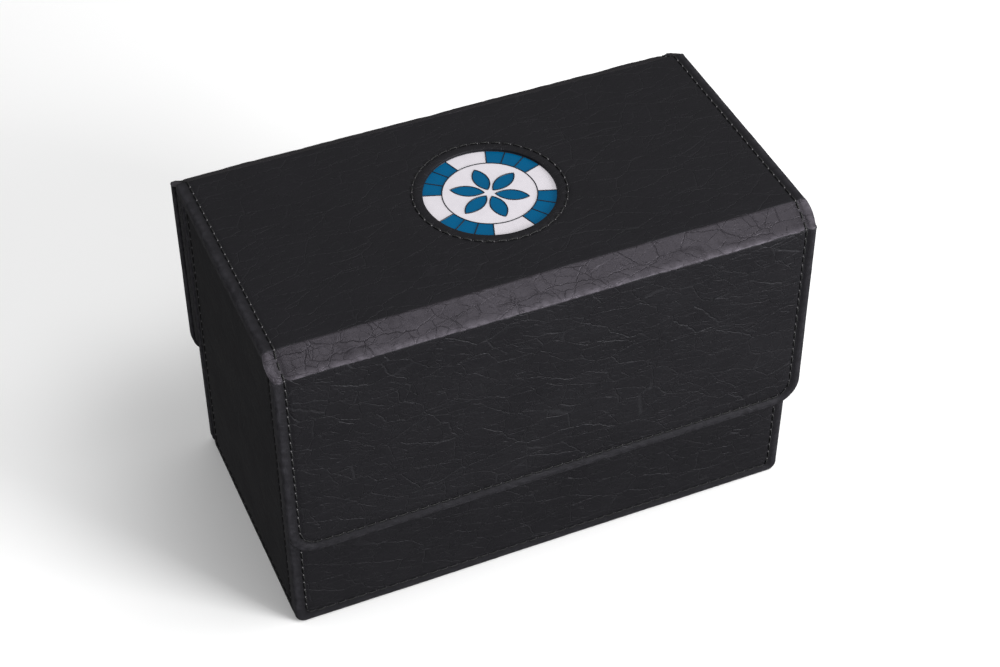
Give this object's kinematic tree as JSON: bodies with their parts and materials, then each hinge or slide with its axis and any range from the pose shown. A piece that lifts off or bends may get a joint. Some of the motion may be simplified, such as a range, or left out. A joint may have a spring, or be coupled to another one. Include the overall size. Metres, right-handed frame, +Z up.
{
  "type": "card deck box",
  "caption": "Rectangular leatherette-covered card deck box with a loose wrap-over magnetic lid, stitched panels, a round badge window and sliding card dividers.",
  "frame": {"origin": "centre of the resting face, at the bottom of the body", "axes": "+X along the length to the right, -Y towards the front flap, +Z up through the lid"},
  "size_m": [0.1624, 0.092, 0.107],
  "materials": {
    "leatherette": "satin",
    "greyboard": "matte",
    "lining": "matte",
    "thread": "satin",
    "magnet": "satin",
    "badge_white": "gloss",
    "badge_blue": "gloss",
    "divider_plastic": "matte"
  },
  "bodies": {
    "box": {"base_board": "greyboard", "base_cover": "leatherette", "base_lining": "lining", "front_wall_board": "greyboard", "front_wall_cover": "leatherette", "front_wall_lining": "lining", "front_wall_magnets": "magnet", "front_wall_thread": "thread", "rear_wall_board": "greyboard", "rear_wall_cover": "leatherette", "rear_wall_lining": "lining", "rear_wall_magnets": "magnet", "rear_wall_thread": "thread", "left_end_board": "greyboard", "left_end_cover": "leatherette", "left_end_lining": "lining", "left_end_thread": "thread", "right_end_board": "greyboard", "right_end_cover": "leatherette", "right_end_lining": "lining", "right_end_thread": "thread"},
    "rear_flap": {"rear_flap_board": "greyboard", "rear_flap_cover": "leatherette", "rear_flap_lining": "lining", "rear_flap_magnets": "magnet", "rear_flap_thread": "thread"},
    "lid_panel": {"top_board": "greyboard", "top_cover": "leatherette", "top_lining": "lining", "top_thread": "thread", "top_window_thread": "thread", "top_badge_disc": "badge_white", "top_badge_inlays": "badge_blue", "front_hinge_strip": "leatherette", "front_hinge_strip_thread": "thread", "rear_hinge_strip": "leatherette", "rear_hinge_strip_thread": "thread"},
    "front_flap": {"front_flap_board": "greyboard", "front_flap_cover": "leatherette", "front_flap_lining": "lining", "front_flap_magnets": "magnet", "front_flap_thread": "thread"},
    "divider_1": {"divider_1": "divider_plastic"},
    "divider_2": {"divider_2": "divider_plastic"}
  },
  "joints": [
    {"name": "lid_lift", "type": "slide", "parent": "box", "child": "rear_flap", "axis": [0, 0, 1], "range_m": [0, 0.075]},
    {"name": "lid_swing", "type": "hinge", "parent": "rear_flap", "child": "lid_panel", "pos_m": [0, 0.04225, 0.1046], "axis": [-1, 0, 0], "range_deg": [0, 170], "deforming": ["rear_hinge_strip", "rear_hinge_strip_thread"]},
    {"name": "front_flap_swing", "type": "hinge", "parent": "lid_panel", "child": "front_flap", "pos_m": [0, -0.04225, 0.1046], "axis": [-1, 0, 0], "range_deg": [0, 170], "deforming": ["front_hinge_strip", "front_hinge_strip_thread"]},
    {"name": "divider_1_slide", "type": "slide", "parent": "box", "child": "divider_1", "axis": [1, 0, 0], "range_m": [-0.0496, 0.0244]},
    {"name": "divider_2_slide", "type": "slide", "parent": "box", "child": "divider_2", "axis": [1, 0, 0], "range_m": [-0.0244, 0.0496]}
  ]
}
